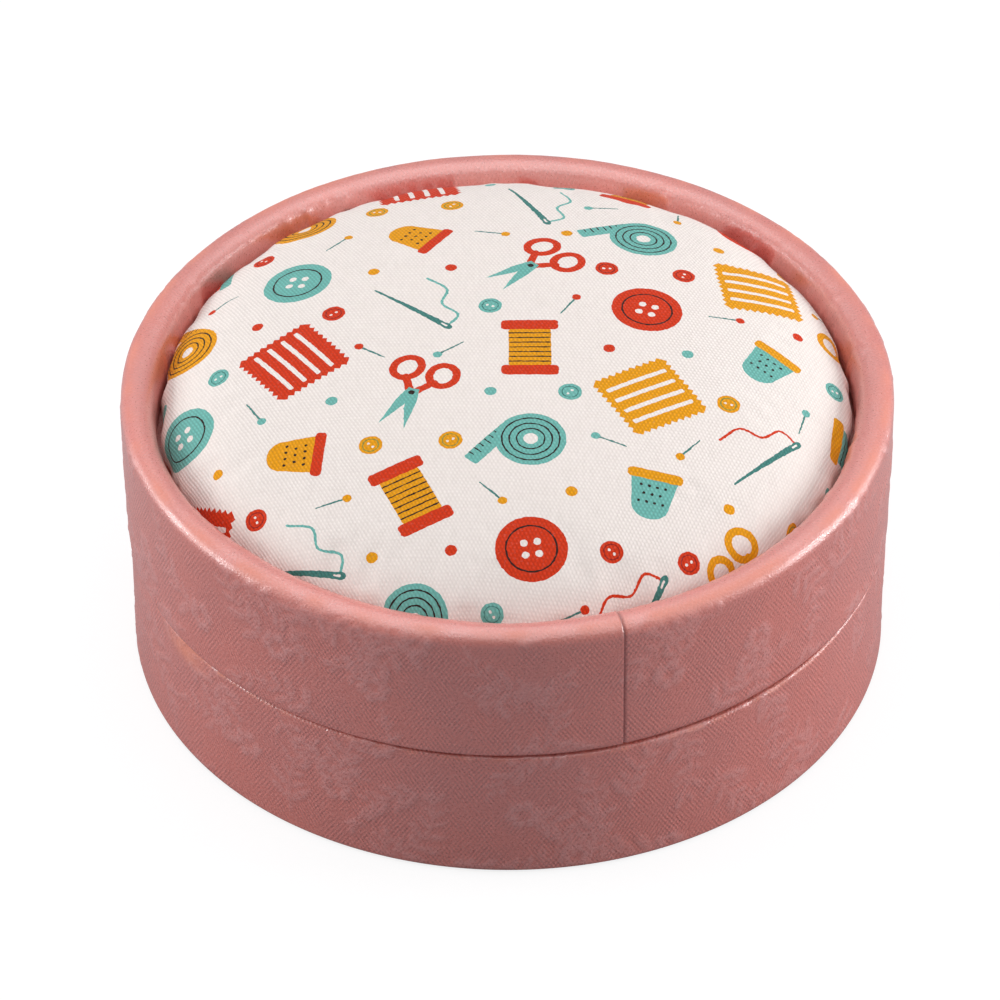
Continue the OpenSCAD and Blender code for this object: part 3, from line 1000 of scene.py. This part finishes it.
def cushion_profile():
    """(radius, z) from crown to hem, its arc length, and the length of the dome."""
    angle = np.linspace(math.pi / 2, 0, 500)
    x = np.abs(np.cos(angle)) ** (2 / FULLNESS)
    z = np.abs(np.sin(angle)) ** (2 / FULLNESS)
    x[0] = 0
    dome = np.stack([CUSH_R * x, WIDE_Z + (CUSH_TOP - WIDE_Z) * z], 1)
    angle = np.linspace(0, -math.pi / 2, 24)
    low = np.stack([CUSH_R - LOW_R + LOW_R * np.cos(angle),
                    CUSH_BOTTOM + LOW_R + LOW_R * np.sin(angle)], 1)
    points = np.concatenate([dome, low, [[CUSH_R - HEM, CUSH_BOTTOM]]])
    length = arc_length(points)
    return points, length, length[len(dome) - 1]


PROFILE, PROFILE_S, S_DOME = cushion_profile()
S_END = PROFILE_S[-1]


def profile_at(s):
    return np.stack([np.interp(s, PROFILE_S, PROFILE[:, k]) for k in (0, 1)], 1)


def simulate_cloth(rings, theta, base):
    """Blender Cloth on the cover: a flat disc of fabric pulled over the filling and
    gathered under the board, then pressed outwards by the filling.
    Returns how far each point of the polar grid moved, in millimetres."""
    lump = Field(61, 9, 9, 90, 90)
    start = base.copy()
    start[..., 2] += (0.10 * lump(base[..., 0], base[..., 1])
                      * smooth(rings, S_DOME + 4, S_DOME - 8)[:, None])
    flat = revolve(rings, np.full(len(rings), CUSH_TOP), theta)
    verts, rest = (np.concatenate([[[0, 0, CUSH_TOP]], grid.reshape(-1, 3)])
                   for grid in (start, flat))
    row_count, count = len(rings), len(theta)
    i, j = np.meshgrid(np.arange(count), np.arange(row_count - 1))
    i2 = (i + 1) % count
    quads = np.stack([1 + j * count + i, 1 + (j + 1) * count + i,
                      1 + (j + 1) * count + i2, 1 + j * count + i2], 2).reshape(-1, 4)
    k = np.arange(count)
    fan = np.stack([np.zeros(count, int), 1 + k, 1 + (k + 1) % count], 1)
    mesh = new_mesh("cover_sim", verts / MM * SIM_SCALE, [fan, quads])
    obj = bpy.data.objects.new("cover_sim", mesh)
    scene.collection.objects.link(obj)
    obj.shape_key_add(name="Basis")
    key = obj.shape_key_add(name="flat")
    key.data.foreach_set("co", (rest * SIM_SCALE).astype(np.float32).ravel())
    pin = obj.vertex_groups.new(name="pin")
    grid = np.arange(row_count * count).reshape(row_count, count)
    pinned = grid[rings > S_END - HEM + LOW_R * 0.5] + 1
    pin.add([int(v) for v in pinned.ravel()], 1.0, "REPLACE")
    mod = obj.modifiers.new("Cloth", "CLOTH")
    cloth = mod.settings
    cloth.quality = 6
    cloth.mass = 0.25
    cloth.air_damping = 4
    cloth.tension_stiffness = cloth.compression_stiffness = 18
    cloth.shear_stiffness = 6
    cloth.bending_stiffness = 0.6
    cloth.use_pressure = True
    cloth.uniform_pressure_force = 3.0
    cloth.vertex_group_mass = "pin"
    cloth.effector_weights.gravity = 0
    cloth.rest_shape_key = key
    mod.collision_settings.use_collision = False
    mod.point_cache.frame_start, mod.point_cache.frame_end = 1, SIM_FRAMES
    for f in range(1, SIM_FRAMES + 1):
        scene.frame_set(f)
    result = obj.evaluated_get(bpy.context.evaluated_depsgraph_get())
    coords = np.zeros(len(verts) * 3, np.float32)
    result.data.vertices.foreach_get("co", coords)
    scene.frame_set(1)
    bpy.data.objects.remove(obj)
    bpy.data.meshes.remove(mesh)
    return coords.reshape(-1, 3)[1:].reshape(row_count, count, 3) / SIM_SCALE - base


def cushion_surface():
    """Polar grid of the finished cover, as rings of arc length by angle."""
    rings = np.concatenate([np.linspace(0, S_DOME - 10, 28)[1:],
                            np.linspace(S_DOME - 10, S_END, 34)[1:]])
    count = 160
    theta = np.arange(count) * TAU / count
    base = revolve(*profile_at(rings).T, theta)
    shift = simulate_cloth(rings, theta, base)
    slope = unit(profile_at(rings + 0.3) - profile_at(rings - 0.3))
    normal = revolve(-slope[:, 1], slope[:, 0], theta)
    # keep only the uneven part of the outward movement, capped both ways
    out = np.sum(shift * normal, 2)
    out = np.tanh((out - out.mean(1, keepdims=True)) / 0.5) * 0.5
    out = np.maximum(out, -0.22) * smooth(rings, 0, 6)[:, None]
    out *= (0.40 + 0.60 * smooth(rings, S_DOME - 4, S_DOME + 2))[:, None]
    out += 0.22 * bell(rings, S_DOME, 4.5)[:, None]
    lump = Field(62, 11, 11, 96, 96)
    out = out + (0.11 * lump(base[:, :, 0] + 7, base[:, :, 1])
                 * smooth(rings, S_DOME + 2, S_DOME - 6)[:, None])
    surface = base + normal * out[:, :, None]
    # gathers under the shoulder, where the flat cloth has too much edge
    gathers = Field(63, 46, 2, TAU, 10)(theta, 3.0)
    low = smooth(rings, S_DOME + 2.0, S_END - HEM)[:, None]
    return rings, surface + normal * (0.16 * gathers * low)[:, :, None]


def sample_surface(rings, surface, s, theta):
    """Smooth lookup of the cover, by arc length and angle."""
    count = surface.shape[1]
    centre = np.repeat(surface[0].mean(0)[None], count, 0)
    mirror = np.roll(surface[0], count // 2, 0)
    grid = np.concatenate([[mirror], [centre], surface, [2 * surface[-1] - surface[-2]]])
    stops = np.concatenate([[-rings[0], 0], rings, [2 * rings[-1] - rings[-2]]])
    k = np.clip(np.searchsorted(stops, s, side="right") - 1, 1, len(stops) - 3)
    t = ((s - stops[k]) / (stops[k + 1] - stops[k]))[:, None]
    column = (theta / TAU * count) % count
    i = np.floor(column).astype(int)
    part = (column - i)[:, None]
    p0, p1, p2, p3 = (catmull(*(grid[k + q, (i + n) % count] for n in (-1, 0, 1, 2)), part)
                      for q in (-1, 0, 1, 2))
    gap0, gap1, gap2 = ((stops[k + q + 1] - stops[k + q])[:, None] for q in (-1, 0, 1))
    tangent1 = ((p2 - p1) / gap1 * gap0 + (p1 - p0) / gap0 * gap1) / (gap0 + gap1) * gap1
    tangent2 = ((p3 - p2) / gap2 * gap1 + (p2 - p1) / gap1 * gap2) / (gap1 + gap2) * gap1
    t2, t3 = t * t, t * t * t
    return ((2 * t3 - 3 * t2 + 1) * p1 + (t3 - 2 * t2 + t) * tangent1
            + (-2 * t3 + 3 * t2) * p2 + (t3 - t2) * tangent2)


def inside(outline, points):
    """Winding test of points against a closed outline."""
    near = np.all((points >= outline.min(0)) & (points <= outline.max(0)), 1)
    found = np.zeros(len(points), bool)
    x, y = points[near].T
    if not len(x):
        return found
    wind = np.zeros(len(x), int)
    for (x0, y0), (x1, y1) in zip(outline, np.roll(outline, -1, 0)):
        rising = (y0 <= y) & (y1 > y)
        falling = (y0 > y) & (y1 <= y)
        side = (x1 - x0) * (y - y0) - (x - x0) * (y1 - y0)
        wind += (rising & (side > 0)).astype(int) - (falling & (side < 0)).astype(int)
    found[near] = wind != 0
    return found


def outline_points():
    """Points and edges of the cloth's border and of every printed outline."""
    theta = np.arange(240) * TAU / 240
    loops = [np.stack([S_END * np.cos(theta), S_END * np.sin(theta)], 1)]
    for _, outline, holes in layers:
        loops += [outline, *holes]
    verts, edges = [], []
    for k, loop in enumerate(loops):
        ok = np.hypot(loop[:, 0], loop[:, 1]) < S_END - 1.2
        if k == 0:
            ok[:] = True
        ids = np.full(len(loop), -1)
        ids[ok] = len(verts) + np.arange(ok.sum())
        verts += [tuple(v) for v in loop[ok]]
        edges += [(int(i), int(j)) for i, j in zip(ids, np.roll(ids, -1)) if i >= 0 and j >= 0]
    return verts, edges


def filler_points(taken):
    """Even points between the outlines: a lattice on the dome, rings beyond it."""
    cell, step = 0.42, 0.95
    used = set(map(tuple, np.floor(np.array(taken) / cell).astype(int)))
    grid = []
    for k, y in enumerate(np.arange(-S_DOME - 1, S_DOME + 1, step * 0.866)):
        for x in np.arange(-S_DOME - 1, S_DOME + 1, step) + (step / 2 if k % 2 else 0):
            if math.hypot(x, y) < S_DOME - 6.6:
                grid.append((x, y))
    for s in np.concatenate([np.arange(S_DOME - 6, S_DOME + 5.5, 0.55),
                             np.arange(S_DOME + 6.6, S_END - 0.9, 1.4)]):
        count = 330 if s < S_DOME + 5.5 else 240
        angle = (np.arange(count) + 0.5 * (int(s * 10) % 2)) * TAU / count
        grid += list(zip(s * np.cos(angle), s * np.sin(angle)))
    return [(float(x), float(y)) for x, y in grid
            if (int(math.floor(x / cell)), int(math.floor(y / cell))) not in used]


def print_mesh():
    """The flat print: points, triangles and the ink of each triangle."""
    verts, edges = outline_points()
    verts += filler_points(verts)
    result = geometry.delaunay_2d_cdt([Vector(p) for p in verts], edges, [], 0, 0.002)
    flat = np.array([tuple(p) for p in result[0]])
    tris = np.array([t for t in result[2] if len(t) == 3])
    x, y = flat[tris, 0], flat[tris, 1]
    size = 0.5 * ((x[:, 1] - x[:, 0]) * (y[:, 2] - y[:, 0])
                  - (x[:, 2] - x[:, 0]) * (y[:, 1] - y[:, 0]))
    tris = np.where((size < 0)[:, None], tris[:, ::-1], tris)
    tris = tris[np.abs(size) > 1e-7]
    middle = flat[tris].mean(1)
    colour = np.tile(INKS["ground"], (len(tris), 1))
    for ink, outline, holes in layers:
        hit = inside(outline, middle)
        for hole in holes:
            hit &= ~inside(hole, middle)
        colour[hit] = INKS[ink]
    return flat, tris, colour


def make_cushion(material):
    rings, surface = cushion_surface()
    draw_print()
    flat, tris, colour = print_mesh()
    # place every point on the finished cover
    s, angle = np.hypot(flat[:, 0], flat[:, 1]), np.arctan2(flat[:, 1], flat[:, 0])
    s = np.minimum(s, S_END)

    def lookup(s, angle):
        return sample_surface(rings, surface, s, angle)

    top = lookup(s, angle)
    near = 0.12
    outwards = lookup(np.minimum(s + near, S_END), angle) - lookup(np.maximum(s - near, 0), angle)
    normal = np.cross(outwards, lookup(s, angle + 0.004) - lookup(s, angle - 0.004))
    normal[s < 0.3] = (0, 0, 1)
    normal = unit(normal)
    # inner face of the cloth, joined along the hem's edge
    edge = np.where(s > S_END - 1e-3)[0]
    edge = edge[np.argsort(np.mod(angle[edge], TAU))]
    count = len(edge)
    back_s = np.concatenate([np.linspace(S_END - 1.0, S_DOME - 8, 30),
                             np.linspace(S_DOME - 11, 3, 12)])
    steps = np.arange(len(PROFILE_S))
    index = np.interp(back_s, PROFILE_S, steps)
    slope = unit(np.stack([np.interp(index + 1, steps, PROFILE[:, k])
                           - np.interp(index - 1, steps, PROFILE[:, k]) for k in (0, 1)], 1))
    back_r, back_z = profile_at(back_s).T
    back = revolve(back_r + slope[:, 1] * CLOTH, back_z - slope[:, 0] * CLOTH, angle[edge])
    verts = np.concatenate([top, back.reshape(-1, 3), [[0, 0, CUSH_TOP - CLOTH]]])
    top_count = len(top)
    rows = [edge] + [top_count + j * count + np.arange(count) for j in range(len(back_s))]
    quads = np.concatenate([np.stack([np.roll(one, -1), one, two, np.roll(two, -1)], 1)
                            for one, two in zip(rows, rows[1:])])
    fan = np.stack([np.roll(rows[-1], -1), rows[-1], np.full(count, len(verts) - 1)], 1)
    verts = verts + np.array([CUSH_X, CUSH_Y, 0])
    mesh = new_mesh("cushion", verts, [tris, fan, quads])

    plain = np.tile(INKS["ground"], (len(fan) * 3 + len(quads) * 4, 1))
    inks = np.concatenate([np.repeat(colour, 3, 0), plain])
    add_attribute(mesh, "ink", "FLOAT_COLOR", "CORNER",
                  np.concatenate([inks, np.ones((len(inks), 1))], 1))
    cloth = np.zeros((len(verts), 3))
    cloth[:top_count, :2] = flat
    all_s = np.concatenate([np.repeat(back_s, count), [0]])
    all_angle = np.concatenate([np.tile(angle[edge], len(back_s)), [0]])
    cloth[top_count:, 0] = all_s * np.cos(all_angle)
    cloth[top_count:, 1] = all_s * np.sin(all_angle)
    add_attribute(mesh, "cloth", "FLOAT_VECTOR", "POINT", cloth)
    # shading follows the smooth surface, not the uneven triangles
    mesh.update()
    shading = np.zeros(len(verts) * 3, np.float32)
    mesh.vertices.foreach_get("normal", shading)
    shading = shading.reshape(-1, 3)
    use = s < S_END - 0.5
    shading[:top_count][use] = normal[use]
    mesh.normals_split_custom_set_from_vertices([tuple(v) for v in shading])
    new_cover("cushion_printed_cover", mesh, material, "cushion_cover", "lid")


# ---------------------------------------------------------------- assembly
pink = paper_material()
make_lid_paper(pink)
make_base_paper(pink)
make_cushion(cotton_material())

board = board_material("wound_board", lin(176, 156, 132), spiral=7.0)
disc_board = board_material("disc_board", lin(172, 153, 130))
neck = board_material("neck_board", lin(150, 134, 116), spiral=7.0)
lining = lining_material("lining_paper", lin(240, 229, 210))
under = lining_material("underside_paper", lin(205, 150, 146))
wad = plain_cloth_material("filling", lin(240, 238, 230))
thread = plain_cloth_material("thread", lin(232, 226, 214))
LOOKS = {
    "base_tube": board, "base_disc": disc_board, "base_underside_paper": under,
    "base_floor_liner": lining, "neck_tube": neck, "neck_liner": lining,
    "lid_tube": board, "lid_divider": disc_board, "lid_ceiling_liner": lining,
    "cushion_board": disc_board, "cushion_filling": wad, "gathering_thread": thread,
}
for node, look in LOOKS.items():
    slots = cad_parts[node].data.materials
    slots.clear()
    slots.append(look)


# ------------------------------------------------------------------- floor
def floor_material():
    """Pale glowing floor to the camera, darker to reflections and bounced light."""
    mat = Material("floor")
    rays = mat.node("ShaderNodeLightPath").outputs
    seen, shiny = rays["Is Camera Ray"], rays["Is Glossy Ray"]
    here = mat.coord()
    soft = mat.noise(here, scale=3.0)
    near = mat.remap(mat.vector("LENGTH", here, out=1), span=(0.10, 0.34), to=(1.0, 0.12))
    behind = mat.remap(mat.axis(here, 1), span=(-0.03, 0.06), to=(0.03, 0.42))
    unseen = mat.mix(shiny, (0.38, 0.38, 0.39), (0.13, 0.14, 0.17))
    pale = mat.mix(mat.remap(soft, span=(0.3, 0.7)), (0.21, 0.21, 0.21), (0.23, 0.23, 0.23))
    glow = mat.add(mat.mul(seen, 0.83), mat.mul(shiny, mat.mul(near, behind)))
    return mat.set(Base_Color=mat.mix(seen, unseen, pale), Roughness=0.95,
                   Specular_IOR_Level=0.0, Emission_Color=(1.0, 1.0, 1.0),
                   Emission_Strength=glow)


FLOOR_HALF, FLOOR_Z = 3, -0.00003
floor_mesh = bpy.data.meshes.new("floor")
floor_mesh.from_pydata([(x * FLOOR_HALF, y * FLOOR_HALF, FLOOR_Z)
                        for x, y in ((-1, -1), (1, -1), (1, 1), (-1, 1))], [], [(0, 1, 2, 3)])
new_object("floor", floor_mesh, floor_material())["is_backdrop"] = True

# ------------------------------------------------------------------ lights
AIM_Z = 0.03
# name, place, point aimed at, width, depth, radiance
SOFTBOXES = (
    ("overhead", (0.0, 0.02, 0.66), (0, 0.02, AIM_Z), 1.06, 1.00, 0.97),
    ("front", (0.06, -0.52, 0.62), (0, 0, AIM_Z), 0.44, 0.36, 0.95),
    ("overhead_sheen", (0.0, 0.10, 0.70), (0, 0.10, AIM_Z), 1.10, 1.04, 0.42),
    ("left", (-0.62, 0.04, 0.14), (0, 0, AIM_Z), 0.28, 0.28, 7.4),
    ("right", (0.62, 0.04, 0.12), (0, 0, AIM_Z), 0.30, 0.30, 9.0),
)
for name, place, target, width, depth, radiance in SOFTBOXES:
    light = bpy.data.lights.new(name, "AREA")
    light.shape, light.size, light.size_y = "RECTANGLE", width, depth
    light.energy = radiance * math.pi * width * depth
    lamp = bpy.data.objects.new(name, light)
    scene.collection.objects.link(lamp)
    lamp.location = place
    lamp.rotation_euler = (Vector(target) - Vector(place)).to_track_quat("-Z", "Y").to_euler()
    # the sheen light only shows in reflections
    lamp.visible_diffuse = name != "overhead_sheen"


def make_world():
    """The room: pale to the camera, otherwise darker towards -Y, behind the camera."""
    world = bpy.data.worlds.new("studio")
    scene.world = world
    world.use_nodes = True
    graph = Graph(world.node_tree)
    background = world.node_tree.nodes["Background"]
    room = graph.remap(graph.axis(graph.coord("Generated"), 1), span=(-0.9, 0.5), to=(0.05, 0.34))
    rays = graph.node("ShaderNodeLightPath").outputs
    diffuse_fill, seen_strength = 0.12, 0.98
    room = graph.math("MULTIPLY_ADD", rays["Is Diffuse Ray"], diffuse_fill, room)
    seen = rays["Is Camera Ray"]
    strength = graph.node("ShaderNodeMix", {0: seen, 2: room, 3: seen_strength}).outputs[0]
    graph.put(background.inputs[1], strength)
    cool, white = (0.95, 0.985, 1.06), (1, 1, 1)
    graph.put(background.inputs[0], graph.mix(seen, cool, white))


make_world()
scene.view_settings.view_transform = "Standard"
scene.view_settings.look = "None"
scene.view_settings.exposure = 0.0
scene.view_settings.gamma = 1.0

# ------------------------------------------------------------------ camera
LENS = 224.9568                                   # focal length for a 36 mm sensor
DISTANCE = 16.7177                                # from the origin, in lid radii
ELEVATION = 0.724495                              # this and the turns are in radians
PAN, TILT, ROLL = 0.001264, 0.018534, 0.006       # small turns after aiming at the origin


def turn(v, axis, angle):
    return (v * math.cos(angle) + np.cross(axis, v) * math.sin(angle)
            + axis * np.dot(axis, v) * (1 - math.cos(angle)))


eye = np.array([0, -DISTANCE * math.cos(ELEVATION), DISTANCE * math.sin(ELEVATION)]) * (LID_R * MM)
forward = -eye / np.linalg.norm(eye)
right = np.array([1.0, 0, 0])
up = np.cross(right, forward)
forward, right = turn(forward, up, PAN), turn(right, up, PAN)
forward, up = turn(forward, right, TILT), turn(up, right, TILT)
right, up = turn(right, forward, ROLL), turn(up, forward, ROLL)
lens = bpy.data.cameras.new("camera")
lens.sensor_width = 36.0
lens.lens = LENS
lens.clip_start, lens.clip_end = 0.05, 20.0
camera = bpy.data.objects.new("camera", lens)
scene.collection.objects.link(camera)
camera.matrix_world = Matrix([*zip(right, up, -forward, eye), (0, 0, 0, 1)])
scene.camera = camera

bpy.context.view_layer.update()
low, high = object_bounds()
({"cad_box": [list(cad_low), list(cad_high)],
           "visual_box": [list(low), list(high)]})
